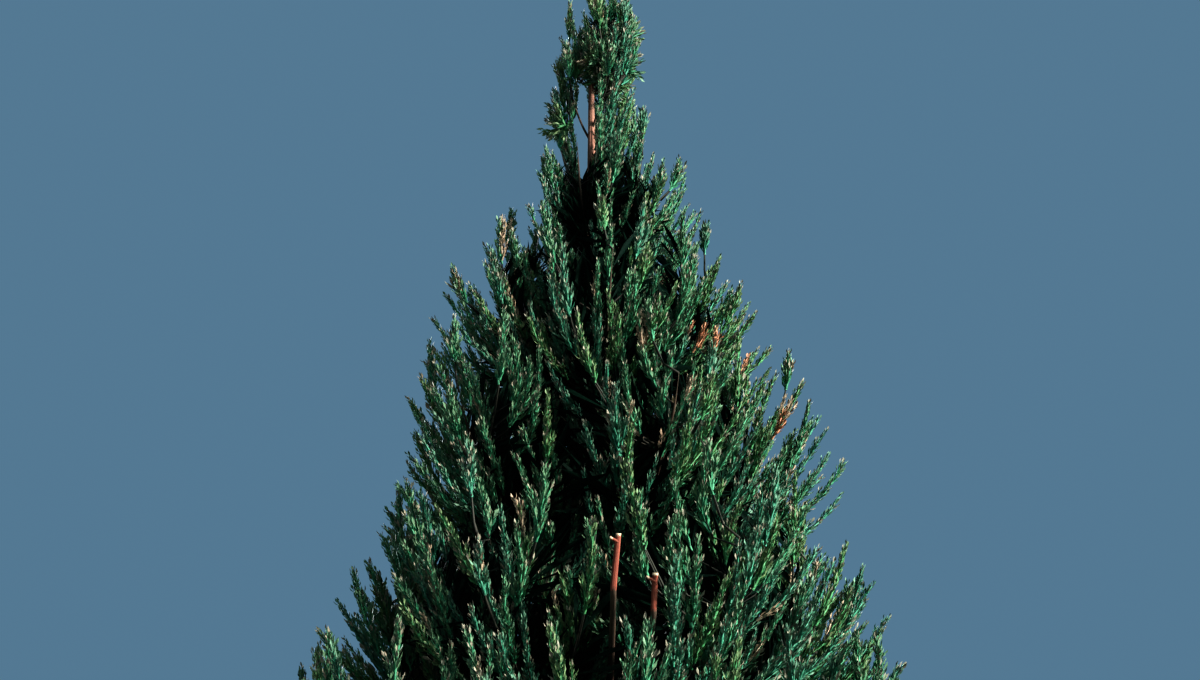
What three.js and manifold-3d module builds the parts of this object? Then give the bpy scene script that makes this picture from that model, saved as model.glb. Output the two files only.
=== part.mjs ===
// Chinese juniper: a whole, broadly conical evergreen with steep plumes of foliage.
// Millimetres, +Z up. The origin is on the ground at the middle of the trunk's flat cut.
// One upright trunk runs to just under the tip. Masses of foliage stand round it in tiers: the upper ones
// spring from the trunk by their own stem, and the lower ones from the end of a bough.
// In each mass a seeded rule sends twigs from the stem to plumes, whose tips are spaced over the crown.
import * as THREE from "three";
import Module from "manifold-3d";

const wasm = await Module();
wasm.setup();

// The crown's outline
const TREE_HEIGHT = 5400;
const CONE_SLOPE = 0.46; // crown radius gained for each millimetre below the tip
const CROWN_RADIUS = 1640; // radius that the cone levels off to
const SHOULDER_DEPTH = 720; // depth below the tip at which the spire widens into the cone
const SPIRE_RADIUS = 185; // radius of the narrow spire at the top
const SPIRE_DEPTH = 90; // depth in which the spire reaches its radius
const TIP_SHIFT = 62; // how far right of the trunk's foot the spire's middle stands at the tip
const TIP_SHIFT_DEPTH = 120;
const SKIRT_TUCK = 0.3; // share by which the crown draws in at the ground
const SKIRT_HEIGHT = 800;

// The trunk
const TRUNK_HEIGHT = 4960;
const TRUNK_RADIUS = 92;
const TRUNK_TIP_RADIUS = 9;
const TRUNK_TAPER = 0.95;
const TRUNK_SWAY = 26; // sideways wander of its middle line
const TRUNK_LEAN = -34; // how far its tip stands left of its foot
const FLARE_RADIUS = 52; // what the root flare adds at the ground
const FLARE_HEIGHT = 150;
const FLARE_LOBES = 5;
const LOBE_DEPTH = 0.2;
const FLARE_RINGS = [0, 45, 100, 180, 300]; // heights of the rings that shape the flare
const TRUNK_RINGS = 12; // even rings from the flare to the tip
const TRUNK_SIDES = 12;

// Tiers of masses from the top down: how many stand round the trunk, the first one's bearing in degrees,
// the rows and columns of plumes in each, and whether a bough carries it.
const TIERS = [
  { masses: 3, bearing: 176, rows: 2, columns: 2, bough: false },
  { masses: 3, bearing: 122, rows: 2, columns: 3, bough: false },
  { masses: 4, bearing: 8, rows: 2, columns: 3, bough: false },
  { masses: 5, bearing: 150, rows: 2, columns: 3, bough: false },
  { masses: 6, bearing: 2, rows: 2, columns: 3, bough: false },
  { masses: 6, bearing: 34, rows: 2, columns: 4, bough: true },
  { masses: 6, bearing: 6, rows: 2, columns: 4, bough: true },
  { masses: 6, bearing: 38, rows: 2, columns: 4, bough: true },
];
const FIRST_ROW_DEPTH = 140;
const ROW_STEP = 200; // depth from the first row to the second, which widens lower down
const ROW_GROWTH = 0.05;
const SEED = 7100;
const TIER_SEEDS = 100; // seeds kept for one tier
const SHOOT_SEEDS = 5000; // added to a mass's seed for its shoots
const LEADER_SEED = 900;

// Limbs. A limb is a bough with the stem of its mass, or such a stem alone.
const RISE = 500; // how far the topmost limbs climb, which grows lower down
const RISE_GROWTH = 0.3;
const RISE_MOST = 1280;
const LOWEST_LIMB = 330; // height at which the lowest limbs leave the trunk
const ATTACH_SPREAD = 160; // range over which the limbs of one tier leave the trunk
const LIMB_BOW = 10; // range in degrees by which a limb bows sideways
const OUT_POWER = 1.7; // how soon a limb runs out to the crown's surface
const EVEN_CLIMB = 0.6; // share of its rise that a limb climbs evenly; the rest comes near its end
const LIMB_SHARE = 0.36; // its radius at the trunk, as a share of the trunk's
const LIMB_TAPER = 0.9;
const LIMB_LEAST_RADIUS = 6;
const BOUGH_END = 0.3; // where along a limb the bough ends and its mass begins
const STEM_END = 0.88; // where along a limb its mass's stem ends
const BOUGH_SIDES = 5;
const STEM_SIDES = 4;
const STEM_ROOT = 0.08; // where along a limb a piece that springs from the trunk has its own origin

// Plumes. Lengths along a twig or a limb are shares of it, from 0 at its root to 1 at its tip.
const TWIGS_FROM = 0.2; // where the first twig leaves a stem that springs from the trunk
const TWIGS_PAST_BOUGH = 0.03;
const TWIGS_TO = 0.8;
const ROW_STAGGER = 0.25; // half of the offset between the columns of one row and the next
const BEARING_SPREAD = 0.2; // random ranges, as shares of a column's width, a row's step and the crown's radius
const DEPTH_SPREAD = 0.4;
const INSET = 0.07;
const PLUME_WIDTH = 0.43; // half width of a plume as a share of its column's width
const GIRTH_SPREAD = 0.2;
const BEND_OUT = 0.82; // a twig runs this far out before it turns up
const BEND_UP = 0.1;
const TWIG_RADIUS = 7;
const TWIG_SIDES = 3;
const SWELL = [
  [0, 0.12],
  [0.32, 0.22],
  [0.62, 1],
  [1, 0],
]; // a plume's half width along its twig: thin to where it swells, and pointed at the tip
const APART_FROM = 0.6; // from here to its tip a plume stands clear of the others of its mass
const SLIMMER = [1, 0.85, 0.7, 0.55, 0.4, 0.3]; // widths tried where space is tight

// The shoot that stands out of each plume, measured by the plume's half width
const SHOOT_FROM = 0.56;
const SHOOT_RANGE = 0.12;
const SHOOT_OFFSET = 0.12;
const SHOOT_STEEPNESS = 1.7;
const SHOOT_LENGTH = 1.9;
const SHOOT_LENGTH_RANGE = 0.8;
const SHOOT_RADIUS = 0.3;

// The leader: one plume to the tip, and a ring of others round it
const LEADER_RING = 5;
const LEADER_RING_RADIUS = 78;
const LEADER_RING_DEPTH = 55;
const LEADER_RING_STEP = 22; // each plume of the ring ends this much lower than the one before
const LEADER_SWING = 40; // random range of their bearings in degrees
const LEADER_TIP_RADIUS = 15;
const LEADER_STEM_END = 0.7;
const LEADER_STEM_TAPER = 0.6;
const LEADER_SIDES = 5;
const LEADER_WIDTH = 40;
const LEADER_RING_WIDTH = 34;
const LEADER_BEND_OUT = 0.7;
const LEADER_BEND_UP = 0.3;

// Clearances
const CLEARANCE = 0.3; // gap between a limb and the piece that springs from it
const SPACE_GAP = 5; // least gap between two masses, or a mass and a limb
const TRUNK_GAP = 6; // what foliage keeps clear of the trunk besides
const BALL_STEP = 12; // spacing of the balls that mark where space is taken
const LIMB_BALL_STEP = 8;

const up = new THREE.Vector3(0, 0, 1);
const right = new THREE.Vector3(1, 0, 0);
const degrees = THREE.MathUtils.degToRad;
const between = THREE.MathUtils.lerp;

// Random numbers from 0 to 1 that are the same for the same seed.
function seeded(seed) {
  let state = seed >>> 0;
  return () => {
    state = (state + 0x6d2b79f5) >>> 0;
    let mixed = Math.imul(state ^ (state >>> 15), state | 1);
    mixed = (mixed + Math.imul(mixed ^ (mixed >>> 7), mixed | 61)) ^ mixed;
    return ((mixed ^ (mixed >>> 14)) >>> 0) / 4294967296;
  };
}

// The larger and the smaller of two lengths, with a rounded change from one to the other.
const roundMax = (a, b) => (a ** 4 + b ** 4) ** (1 / 4);
const roundMin = (a, b) => (a ** -6 + b ** -6) ** (-1 / 6);

// The crown's radius at a depth below the tip: a narrow spire, then a cone that levels off and tucks in.
function crownRadius(depth) {
  const spire = SPIRE_RADIUS * (1 - Math.exp(-depth / SPIRE_DEPTH));
  const cone = CONE_SLOPE * depth * (1 - Math.exp(-((depth / SHOULDER_DEPTH) ** 3)));
  const height = (TREE_HEIGHT - depth) / SKIRT_HEIGHT;
  return roundMin(roundMax(spire, cone), CROWN_RADIUS) * (1 - SKIRT_TUCK * Math.exp(-height * height));
}

// A point on a level circle of the crown, whose middle shifts to the right towards the tip.
function crownPoint(bearing, radius, depth) {
  const shift = TIP_SHIFT * Math.exp(-depth / TIP_SHIFT_DEPTH);
  return new THREE.Vector3(shift + radius * Math.cos(bearing), radius * Math.sin(bearing), TREE_HEIGHT - depth);
}

function trunkCentre(z) {
  const share = z / TRUNK_HEIGHT;
  const x = TRUNK_SWAY * Math.sin(5 * share) + (TRUNK_LEAN - TRUNK_SWAY * Math.sin(5)) * share ** 4;
  return new THREE.Vector3(x, TRUNK_SWAY * 0.7 * Math.sin(4 * share) * share, z);
}

function trunkRadius(z) {
  const share = Math.max(0, 1 - z / TRUNK_HEIGHT);
  return between(TRUNK_TIP_RADIUS, TRUNK_RADIUS, share ** TRUNK_TAPER);
}

// A closed limb through rings of points round a path. Each ring is { centre, tangent, radius }, where the
// radius may be a function of the angle. A last ring of radius 0 is a point. The first point of a ring
// lies at an angle of turn from the direction across.
function loft(rings, sides, across, turn = 0) {
  const pointed = rings.at(-1).radius === 0;
  const full = pointed ? rings.slice(0, -1) : rings;
  const position = full.flatMap((ring) => ringPoints(ring, sides, across, turn));
  const index = [];
  const at = (ring, k) => ring * sides + (k % sides);
  const last = full.length - 1;
  for (let ring = 0; ring < last; ring++)
    for (let k = 0; k < sides; k++) {
      index.push(at(ring, k), at(ring, k + 1), at(ring + 1, k + 1));
      index.push(at(ring, k), at(ring + 1, k + 1), at(ring + 1, k));
    }
  for (let k = 1; k + 1 < sides; k++) index.push(0, k + 1, k);
  if (pointed) {
    position.push(...rings.at(-1).centre.toArray());
    for (let k = 0; k < sides; k++) index.push(at(last, k), at(last, k + 1), full.length * sides);
  } else {
    for (let k = 1; k + 1 < sides; k++) index.push(at(last, 0), at(last, k), at(last, k + 1));
  }
  return new THREE.BufferGeometry()
    .setAttribute("position", new THREE.Float32BufferAttribute(position, 3))
    .setIndex(index);
}

function ringPoints({ centre, tangent, radius }, sides, across, turn) {
  const a = across.clone().addScaledVector(tangent, -across.dot(tangent)).normalize();
  const b = tangent.clone().cross(a);
  const points = [];
  for (let k = 0; k < sides; k++) {
    const angle = turn + (2 * Math.PI * k) / sides;
    const r = typeof radius === "function" ? radius(angle) : radius;
    const point = centre.clone().addScaledVector(a, r * Math.cos(angle)).addScaledVector(b, r * Math.sin(angle));
    points.push(...point.toArray());
  }
  return points;
}

// A closed geometry as a solid that can be joined and cut.
function solidOf(geometry) {
  return new wasm.Manifold(
    new wasm.Mesh({
      numProp: 3,
      vertProperties: new Float32Array(geometry.attributes.position.array),
      triVerts: new Uint32Array(geometry.index.array),
    }),
  );
}

// A named mesh that stands at its own root point.
function meshOf(name, solid, root, material) {
  const made = solid.getMesh();
  const position = new Float32Array(made.numVert * 3);
  for (let i = 0; i < made.numVert; i++)
    position.set(made.vertProperties.subarray(i * made.numProp, i * made.numProp + 3), i * 3);
  const geometry = new THREE.BufferGeometry()
    .setAttribute("position", new THREE.BufferAttribute(position, 3))
    .setIndex(new THREE.BufferAttribute(made.triVerts, 1))
    .translate(-root.x, -root.y, -root.z);
  geometry.computeVertexNormals();
  const mesh = new THREE.Mesh(geometry, material);
  mesh.name = name;
  mesh.position.copy(root);
  return mesh;
}

// Several solids as one closed body: a hollow that joining seals is filled, and loose scraps are dropped.
function joined(parts) {
  const bodies = wasm.Manifold.union(parts).decompose();
  return bodies.reduce((best, body) => (body.volume() > best.volume() ? body : best));
}

// The trunk, grown outwards by a margin. The margin makes the cut that its boughs and stems stand clear of.
function trunkSolid(margin) {
  const flareTop = FLARE_RINGS.at(-1);
  const heights = [...FLARE_RINGS];
  for (let i = 1; i <= TRUNK_RINGS; i++) heights.push(between(flareTop, TRUNK_HEIGHT, i / TRUNK_RINGS));
  const rings = heights.map((z) => {
    const flare = Math.exp(-z / FLARE_HEIGHT);
    const lobe = (angle) => 1 + LOBE_DEPTH * flare * Math.cos(FLARE_LOBES * angle + 0.6);
    const radius = (angle) => margin + (trunkRadius(z) + FLARE_RADIUS * flare) * lobe(angle);
    return { centre: trunkCentre(z), tangent: up, radius };
  });
  return solidOf(loft(rings, TRUNK_SIDES, right));
}

// The middle line of one limb, from the trunk's middle (0) to the tip of its mass (1).
class Limb extends THREE.Curve {
  constructor({ bearing, depth, bow, attach }) {
    super();
    this.bearing = bearing;
    this.bow = bow;
    this.attach = attach;
    this.reach = crownRadius(depth);
    this.rise = TREE_HEIGHT - depth - attach;
    this.foot = trunkCentre(attach);
  }
  getPoint(t, target = new THREE.Vector3()) {
    const bearing = this.bearing + this.bow * Math.sin(Math.PI * t);
    const radius = this.reach * (1 - (1 - t) ** OUT_POWER);
    const climbed = EVEN_CLIMB * t + (1 - EVEN_CLIMB) * t * t;
    const x = this.foot.x * (1 - t) + radius * Math.cos(bearing);
    const y = this.foot.y * (1 - t) + radius * Math.sin(bearing);
    return target.set(x, y, this.attach + this.rise * climbed);
  }
  radiusAt(t) {
    return Math.max(LIMB_LEAST_RADIUS, LIMB_SHARE * trunkRadius(this.attach) * (1 - t) ** LIMB_TAPER);
  }
  solid({ from, to, rings, sides, gap = 0 }) {
    const placed = [];
    for (let i = 0; i < rings; i++) {
      const t = between(from, to, i / (rings - 1));
      const tangent = this.getTangent(t);
      placed.push({ centre: this.getPoint(t).addScaledVector(tangent, gap), tangent, radius: this.radiusAt(t) });
    }
    return solidOf(loft(placed, sides, new THREE.Vector3(-Math.sin(this.bearing), Math.cos(this.bearing), 0)));
  }
}

// The plumes of one mass: rows and columns of tips over its part of the crown, and the twigs that reach them.
// The lowest and outermost spring first from the stem, and the rest from places evenly spaced along it.
function plumesOf(limb, tier, rowDepths, random) {
  const { masses, rows, columns, bough } = tier;
  const from = bough ? BOUGH_END + TWIGS_PAST_BOUGH : TWIGS_FROM;
  const spacing = (2 * Math.PI) / (masses * columns);
  const plumes = [];
  for (let row = 0; row < rows; row++) {
    const step = ROW_STEP + ROW_GROWTH * rowDepths[row];
    const stagger = row % 2 ? ROW_STAGGER : -ROW_STAGGER;
    for (let column = 0; column < columns; column++) {
      const [drop, swing, inset, girth] = [random(), random(), random(), random()];
      const depth = rowDepths[row] + step * DEPTH_SPREAD * (drop - 0.5);
      const place = column + 0.5 - columns / 2;
      const bearing = limb.bearing + spacing * (place + stagger + BEARING_SPREAD * (swing - 0.5));
      const tip = crownPoint(bearing, crownRadius(depth) * (1 - INSET * inset), depth);
      const inward = columns - 1 - 2 * Math.abs(place) + (place < 0 ? 0 : 0.5);
      const order = (rows - 1 - row) * columns + inward + 0.5;
      const root = limb.getPoint(between(from, TWIGS_TO, order / (rows * columns)));
      const bend = root.clone().lerp(tip, BEND_OUT).setZ(between(root.z, tip.z, BEND_UP));
      const width = PLUME_WIDTH * spacing * crownRadius(depth) * (1 + GIRTH_SPREAD * (girth - 0.5));
      plumes.push({ path: new THREE.QuadraticBezierCurve3(root, bend, tip), width });
    }
  }
  return plumes;
}

// The leader's plumes stand round the stem that carries on from the trunk's tip.
function leaderPlumes(stem, random) {
  const plumes = [];
  for (let k = 0; k <= LEADER_RING; k++) {
    const bearing = degrees((360 * k) / LEADER_RING + LEADER_SWING * random());
    const depth = k ? LEADER_RING_DEPTH + LEADER_RING_STEP * k : 0;
    const tip = crownPoint(bearing, k ? LEADER_RING_RADIUS : LEADER_TIP_RADIUS, depth);
    const root = stem.getPoint(k ? 0.12 + 0.06 * k : 0.4);
    const bend = root.clone().lerp(tip, LEADER_BEND_OUT).setZ(between(root.z, tip.z, LEADER_BEND_UP));
    const width = k ? LEADER_RING_WIDTH : LEADER_WIDTH;
    plumes.push({ path: new THREE.QuadraticBezierCurve3(root, bend, tip), width });
  }
  return plumes;
}

// Space that is taken: balls along every limb and plume, each with its owner's name and its plume's.
const taken = [];

function ballsAlong(path, radiusAt, from, to, step) {
  const balls = [];
  const count = Math.max(2, Math.ceil((path.getLength() * (to - from)) / step));
  for (let i = 0; i <= count; i++) {
    const t = between(from, to, i / count);
    balls.push({ at: path.getPoint(t), radius: radiusAt(t) });
  }
  return balls;
}

// Whether balls meet another owner's or, where they belong to a plume's body, another plume of their own mass.
function touches(balls, owner, plume) {
  return balls.some((ball) =>
    taken.some((other) => {
      const apart = other.owner !== owner;
      if (!apart && (!plume || !other.plume || other.plume === plume)) return false;
      return other.at.distanceTo(ball.at) < other.radius + ball.radius + (apart ? SPACE_GAP : 0);
    }),
  );
}

function take(balls, owner, plume) {
  for (const ball of balls) taken.push({ ...ball, owner, plume });
}

// A plume's half width along its twig, no thinner than the twig.
function plumeRadius(width) {
  return (t) => {
    const next = Math.max(1, SWELL.findIndex(([at]) => at >= t));
    const [t0, r0] = SWELL[next - 1];
    const [t1, r1] = SWELL[next];
    return Math.max(t < 1 ? TWIG_RADIUS : 0, width * between(r0, r1, (t - t0) / (t1 - t0)));
  };
}

function plumeSolid(path, width) {
  const radiusAt = plumeRadius(width);
  const across = path.v1.clone().sub(path.v0).cross(path.v2.clone().sub(path.v0)).normalize();
  const rings = SWELL.map(([t]) => ({ centre: path.getPoint(t), tangent: path.getTangent(t), radius: radiusAt(t) }));
  return solidOf(loft(rings, TWIG_SIDES, across, Math.PI / 2));
}

// The line of a shoot: from the plume's swollen middle, up and outwards on a random side.
function shootLine(path, width, random) {
  const at = SHOOT_FROM + SHOOT_RANGE * random();
  const bearing = 2 * Math.PI * random();
  const tangent = path.getTangent(at);
  const side = new THREE.Vector3(Math.cos(bearing), Math.sin(bearing), 0);
  side.addScaledVector(tangent, -side.dot(tangent)).normalize();
  const start = path.getPoint(at).addScaledVector(side, SHOOT_OFFSET * width);
  const aim = side.addScaledVector(tangent, SHOOT_STEEPNESS).normalize();
  const length = width * (SHOOT_LENGTH + SHOOT_LENGTH_RANGE * random());
  return new THREE.LineCurve3(start, start.clone().addScaledVector(aim, length));
}

function shootSolid(line, radius) {
  const aim = line.getTangent(0);
  const across = right.clone().applyQuaternion(new THREE.Quaternion().setFromUnitVectors(up, aim));
  const rings = [
    { centre: line.v1, tangent: aim, radius },
    { centre: line.v2, tangent: aim, radius: 0 },
  ];
  return solidOf(loft(rings, TWIG_SIDES, across));
}

// The solids of each plume and shoot that keeps to the mass's own space. A plume is slimmer where it is tight.
function plumeSolids(plumes, random, owner) {
  const parts = [];
  plumes.forEach(({ path, width }, number) => {
    const plume = `${owner}_${number + 1}`;
    const twig = (share) => ballsAlong(path, plumeRadius(width * share), 0.1, APART_FROM, BALL_STEP);
    const body = (share) => ballsAlong(path, plumeRadius(width * share), APART_FROM, 1, BALL_STEP);
    const slim = SLIMMER.find((share) => !touches(twig(share), owner) && !touches(body(share), owner, plume));
    if (!slim) return;
    take(twig(slim), owner);
    take(body(slim), owner, plume);
    parts.push(plumeSolid(path, width * slim));
    const line = shootLine(path, width * slim, random);
    const radius = SHOOT_RADIUS * width * slim;
    const balls = ballsAlong(line, (t) => radius * (1 - t), 0, 1, BALL_STEP);
    if (touches(balls, owner, plume)) return;
    take(balls, owner, plume);
    parts.push(shootSolid(line, radius));
  });
  return parts;
}

// Every limb with its plumes, planned first so that foliage can keep clear of all the limbs.
function plannedMasses() {
  const planned = [];
  let rowDepth = FIRST_ROW_DEPTH;
  TIERS.forEach((tier, level) => {
    const rowDepths = [];
    for (let row = 0; row < tier.rows; row++) {
      rowDepths.push(rowDepth);
      rowDepth += ROW_STEP + ROW_GROWTH * rowDepth;
    }
    const tipHeight = TREE_HEIGHT - rowDepths[0];
    const rise = Math.min(RISE + RISE_GROWTH * rowDepths[0], RISE_MOST, tipHeight - LOWEST_LIMB);
    for (let j = 0; j < tier.masses; j++) {
      const seed = SEED + TIER_SEEDS * level + j;
      const random = seeded(seed);
      const limb = new Limb({
        bearing: degrees(tier.bearing + (360 * j) / tier.masses),
        depth: rowDepths[0],
        bow: degrees(LIMB_BOW * (random() - 0.5)),
        attach: tipHeight - rise + ATTACH_SPREAD * (random() - 0.5),
      });
      const plumes = plumesOf(limb, tier, rowDepths, random);
      const shootRandom = seeded(seed + SHOOT_SEEDS);
      planned.push({ name: `${level + 1}_${j + 1}`, limb, tier, plumes, shootRandom });
    }
  });
  return planned;
}

// Marks the space of the trunk, each bough and each stem.
function takeLimbs(planned) {
  const heights = [0, 0.25, 0.5, 0.75, 1].map((share) => trunkCentre(share * TRUNK_HEIGHT));
  const trunkLine = new THREE.CatmullRomCurve3(heights);
  take(ballsAlong(trunkLine, (t) => trunkRadius(t * TRUNK_HEIGHT) + TRUNK_GAP, 0, 1, LIMB_BALL_STEP), "trunk");
  for (const { name, limb, tier } of planned) {
    const radiusAt = (t) => limb.radiusAt(t);
    const stemFrom = tier.bough ? BOUGH_END : 0;
    if (tier.bough) take(ballsAlong(limb, radiusAt, 0, BOUGH_END, LIMB_BALL_STEP), `bough_${name}`);
    take(ballsAlong(limb, radiusAt, stemFrom, 1, LIMB_BALL_STEP), `foliage_${name}`);
  }
}

// A mass: its stem, clear of its bough or of the trunk, joined with its plumes and shoots.
function massSolid({ name, limb, tier, plumes, shootRandom }, trunkCut) {
  const stem = tier.bough
    ? limb.solid({ from: BOUGH_END, to: STEM_END, rings: 4, sides: STEM_SIDES, gap: CLEARANCE })
    : limb.solid({ from: 0, to: STEM_END, rings: 5, sides: STEM_SIDES }).subtract(trunkCut);
  return joined([stem, ...plumeSolids(plumes, shootRandom, `foliage_${name}`)]);
}

// The leader: a stem that carries on from the trunk's flat tip, just clear of it, with plumes round it.
function leaderSolid(stem, random) {
  const rings = [0, 0.5, 1].map((share) => {
    const t = share * LEADER_STEM_END;
    return { centre: stem.getPoint(t), tangent: up, radius: TRUNK_TIP_RADIUS * (1 - LEADER_STEM_TAPER * t) };
  });
  const solid = solidOf(loft(rings, LEADER_SIDES, right));
  return joined([solid, ...plumeSolids(leaderPlumes(stem, random), random, "foliage_leader")]);
}

const bark = new THREE.MeshStandardMaterial({ color: 0x8a5a3f, roughness: 0.9, metalness: 0 });
const foliage = new THREE.MeshStandardMaterial({ color: 0x2f5640, roughness: 0.7, metalness: 0, flatShading: true });

const juniper = new THREE.Group();
const boughs = new THREE.Group();
const masses = new THREE.Group();
juniper.add(meshOf("trunk", trunkSolid(0), new THREE.Vector3(), bark), boughs, masses);

const trunkCut = trunkSolid(CLEARANCE);
const planned = plannedMasses();
takeLimbs(planned);
for (const mass of planned) {
  const { name, limb, tier } = mass;
  if (tier.bough) {
    const solid = limb.solid({ from: 0, to: BOUGH_END, rings: 5, sides: BOUGH_SIDES }).subtract(trunkCut);
    boughs.add(meshOf(`bough_${name}`, solid, limb.getPoint(STEM_ROOT), bark));
  }
  const root = limb.getPoint(tier.bough ? BOUGH_END : STEM_ROOT);
  masses.add(meshOf(`foliage_${name}`, massSolid(mass, trunkCut), root, foliage));
}
const leaderFoot = trunkCentre(TRUNK_HEIGHT).setZ(TRUNK_HEIGHT + CLEARANCE);
const leaderStem = new THREE.LineCurve3(leaderFoot, crownPoint(0, 0, 0));
masses.add(meshOf("foliage_leader", leaderSolid(leaderStem, seeded(SEED + LEADER_SEED)), leaderFoot, foliage));

export default juniper;
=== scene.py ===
import math

import bpy
import numpy as np
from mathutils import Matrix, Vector


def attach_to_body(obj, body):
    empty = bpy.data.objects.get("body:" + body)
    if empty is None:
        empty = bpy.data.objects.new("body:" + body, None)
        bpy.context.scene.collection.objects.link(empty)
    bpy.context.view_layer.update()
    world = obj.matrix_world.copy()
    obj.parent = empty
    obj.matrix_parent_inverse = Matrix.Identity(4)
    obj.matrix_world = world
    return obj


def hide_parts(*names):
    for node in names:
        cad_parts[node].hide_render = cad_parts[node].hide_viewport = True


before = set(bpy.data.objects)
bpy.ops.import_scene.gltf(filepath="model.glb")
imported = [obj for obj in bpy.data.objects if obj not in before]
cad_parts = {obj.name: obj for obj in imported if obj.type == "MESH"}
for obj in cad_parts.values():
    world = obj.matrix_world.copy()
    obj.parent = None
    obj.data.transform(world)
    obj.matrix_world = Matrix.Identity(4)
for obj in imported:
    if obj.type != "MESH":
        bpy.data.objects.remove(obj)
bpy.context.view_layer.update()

# The crown's outline, as in the solids
TREE_HEIGHT = 5.4
CONE_SLOPE = 0.46  # radius gained for each metre below the tip
CROWN_RADIUS = 1.64
SHOULDER_DEPTH = 0.72  # where the spire widens into the cone
SHOULDER_POWER = 3
SPIRE_RADIUS = 0.185
SPIRE_DEPTH = 0.09
SPIRE_BLEND = 4  # how tightly it turns into the cone
LEVEL_BLEND = 6  # how tightly the cone levels off
TIP_SHIFT = 0.062  # how far right of the trunk's foot the tip stands
TIP_SHIFT_DEPTH = 0.12
SKIRT_TUCK = 0.3  # share by which the crown draws in at the ground
SKIRT_HEIGHT = 0.8

# The trunk
TRUNK_HEIGHT = 4.96
TRUNK_RADIUS = 0.092
TRUNK_TIP_RADIUS = 0.009
TRUNK_TAPER = 0.95
TRUNK_SWAY = 0.026  # sideways wander of its middle line
SWAY_TURN = 5  # radians of that wander over its height
DEEP_SWAY = 0.7  # the wander from front to back, as a share
DEEP_SWAY_TURN = 4
TRUNK_LEAN = -0.034  # how far its tip stands left of its foot
LEAN_POWER = 4
FLARE_RADIUS = 0.052
FLARE_HEIGHT = 0.15
FLARE_LOBES = 5
LOBE_DEPTH = 0.2
LOBE_TURN = 0.6  # radians

# Tiers as (masses, first bearing in degrees, rows and columns of plumes, whether boughs carry them)
TIERS = [
    (3, 176, 2, 2, False),
    (3, 122, 2, 3, False),
    (4, 8, 2, 3, False),
    (5, 150, 2, 3, False),
    (6, 2, 2, 3, False),
    (6, 34, 2, 4, True),
    (6, 6, 2, 4, True),
    (6, 38, 2, 4, True),
]
FIRST_ROW_DEPTH = 0.14
ROW_STEP = 0.2
ROW_GROWTH = 0.05
SEED = 7100
TIER_SEEDS = 100
LEADER_SEED = 900

# Limbs
RISE = 0.5
RISE_GROWTH = 0.3
RISE_MOST = 1.28
LOWEST_LIMB = 0.33
ATTACH_SPREAD = 0.16
LIMB_BOW = 10  # degrees
OUT_POWER = 1.7
EVEN_CLIMB = 0.6
LIMB_SHARE = 0.36
LIMB_TAPER = 0.9
LIMB_LEAST_RADIUS = 0.0025
BOUGH_END = 0.3
STEM_END = 0.8

# Plumes
TWIGS_FROM = 0.2
TWIGS_PAST_BOUGH = 0.03
TWIGS_TO = 0.8
ROW_STAGGER = 0.25
BEARING_SPREAD = 0.2
DEPTH_SPREAD = 0.4
INSET = 0.07
BEND_OUT = 0.82
BEND_UP = 0.1
LEADER_RING = 5
LEADER_RING_RADIUS = 0.078
LEADER_RING_DEPTH = 0.055
LEADER_RING_STEP = 0.022
LEADER_SWING = 40  # degrees
LEADER_TIP_RADIUS = 0.015
LEADER_BEND_OUT = 0.7
LEADER_BEND_UP = 0.3
LEADER_STEP = 0.16  # depth that one of the leader's plumes covers
LEADER_ROOT = 0.4  # where its stem sends out the middle plume
RING_ROOT = 0.12
RING_ROOT_STEP = 0.06
STEM_GAP = 0.0003

# Sprays, in metres at the size 1. The size grows down the tree, as its shoots do.
SIZE_AT_TIP = 0.8
SIZE_GROWTH = 0.05
SIZE_CURVE = 0.03
SPRAY_AREA = 0.0125  # crown surface for each spray
FEWEST_SPRAYS = 9
SPRAY_LENGTH = 0.34
SPRAY_LENGTHS = (0.8, 1.15)
SPRAY_DROP = 1.25  # how far down a plume's sprays spread, in row steps
DROP_POWER = 0.8  # below 1, they crowd lower down
DROP_SPREAD = 0.02
SPRAY_TURN_SPREAD = 0.4  # radians
PLUME_TOP = 0.15  # a plume's width at its tip, as a share of its half width
PLUME_WIDENING = 1.35
PLUME_WIDTHS = (0.75, 1.1)
PLUME_OUT = 0.5  # how far it swells outwards, inwards and sideways
PLUME_IN = 0.9
PLUME_ASIDE = 1.1
OUTLINE_FOLLOW = 0.4  # how far it widens with the crown below its tip
LEAST_RADIUS = 0.05  # of the crown, for bearings
HELD_BACK = 0.35  # share of the plumes that stand back from the outline
STAND_BACK = 0.09
STAND_BACK_RADIUS = 0.4  # of the crown, from which they do in full
MOST_BACK = 0.3  # of the crown's radius
LEAN_OUT = 0.12  # the sprays' slope outwards at the tree's tip
LEAN_GROWTH = 0.36
LEAN_DEPTH = 1.6
LEAN_OPENING = 0.12  # what a plume's outer side adds
LEAN_SPREAD = 0.08
FAN = 0.26  # their slope away from a plume's middle
FAN_SPREAD = 0.1

# Twigs. Places along a twig or limb are shares of it, from its root to its tip.
TWIG_RADIUS = 0.0065
TWIG_END_RADIUS = 0.0015
SPRAY_RADIUS = 0.0042
SPRAY_END = 0.4  # of that radius, at a spray's tip
SPRAY_END_GAP = 0.03  # how far short of a spray's tip its twig ends
TWIG_RINGS = 4
TWIG_SIDES = 3
LEADING_FROM = 0.45  # where along a plume's twig its leading spray begins
ROOT_BELOW = 1.15  # how far below its tip a spray leaves the twig, in its own lengths
ROOT_LEAST = (0.02, 0.3)  # range of the least rise to that root, as shares of the twig's
ROOT_MOST = 0.8
LEAST_RISE = 0.16  # from a twig's root to its tip
TRUNK_ROOT_DROP = 0.2  # how much lower a twig leaves the trunk, if its limb is too high
TRUNK_ROOT_LEAST = 0.12
ROOT_PLACES = (0.78, 0.7, 0.62, 0.54, 0.46, 0.38, 0.3, 0.22, 0.12, 0.02)  # tried in turn for a root
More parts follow.
